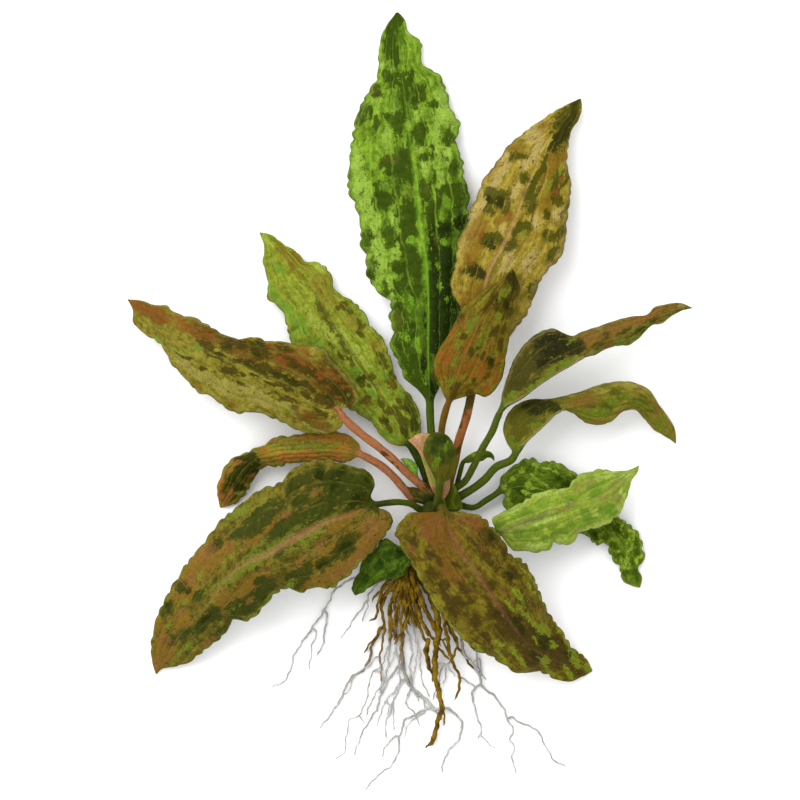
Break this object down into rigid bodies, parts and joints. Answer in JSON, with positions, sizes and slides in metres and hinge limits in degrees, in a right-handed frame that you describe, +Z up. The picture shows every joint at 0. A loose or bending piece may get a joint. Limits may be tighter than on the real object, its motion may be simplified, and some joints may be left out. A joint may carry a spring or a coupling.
{
  "type": "cryptocoryne aquarium plant",
  "caption": "Bare-rooted rosette plant with arched, wavy-edged leaves on leafstalks round a short rootstock with branching roots, lying on a level surface.",
  "frame": {"origin": "on the surface that the plant lies on, under the crown where the leafstalks meet, in the rootstock's flat underside", "axes": "+Y along the shoot, from the roots to the tip of the tallest leaf; +Z up from the surface"},
  "size_m": [0.1691, 0.2335, 0.027],
  "materials": {
    "rootstock": "matte",
    "tall_leaf": "satin",
    "gold_leaf": "satin",
    "brown_front_leaf": "satin",
    "upper_left_leaf": "satin",
    "left_brown_leaf": "satin",
    "curled_leaf": "satin",
    "lower_left_leaf": "satin",
    "front_leaf": "satin",
    "small_dark_leaf": "satin",
    "folded_upper_leaf": "satin",
    "folded_lower_leaf": "satin",
    "dark_green_leaf": "satin",
    "light_green_leaf": "satin",
    "young_leaf": "satin",
    "pink_young_leaf": "satin",
    "crown_sheath": "satin",
    "sprout_leaf": "satin",
    "hooked_leaf": "satin",
    "gold_root": "matte",
    "pale_root": "matte"
  },
  "bodies": {
    "root": {"rootstock": "rootstock", "tall_leaf": "tall_leaf", "gold_leaf": "gold_leaf", "brown_front_leaf": "brown_front_leaf", "upper_left_leaf": "upper_left_leaf", "left_brown_leaf": "left_brown_leaf", "curled_leaf": "curled_leaf", "lower_left_leaf": "lower_left_leaf", "front_leaf": "front_leaf", "small_dark_leaf": "small_dark_leaf", "folded_upper_leaf": "folded_upper_leaf", "folded_lower_leaf": "folded_lower_leaf", "dark_green_leaf": "dark_green_leaf", "light_green_leaf": "light_green_leaf", "young_leaf": "young_leaf", "pink_young_leaf": "pink_young_leaf", "crown_sheath": "crown_sheath", "sprout_leaf": "sprout_leaf", "hooked_leaf": "hooked_leaf", "root_outer_left": "gold_root", "root_outer_left_fork": "gold_root", "root_left_hook": "gold_root", "root_left_short": "gold_root", "root_middle": "gold_root", "root_middle_fork": "pale_root", "root_inner": "gold_root", "root_thick": "gold_root", "root_right": "gold_root", "root_right_short": "gold_root", "root_far_right": "gold_root", "root_far_right_fork": "pale_root", "root_right_runner": "pale_root", "root_far_left": "pale_root", "root_far_left_fork": "pale_root", "root_small_left": "pale_root", "root_low_left": "pale_root", "root_low_fork": "pale_root", "root_short_fork": "pale_root"}
  },
  "joints": []
}
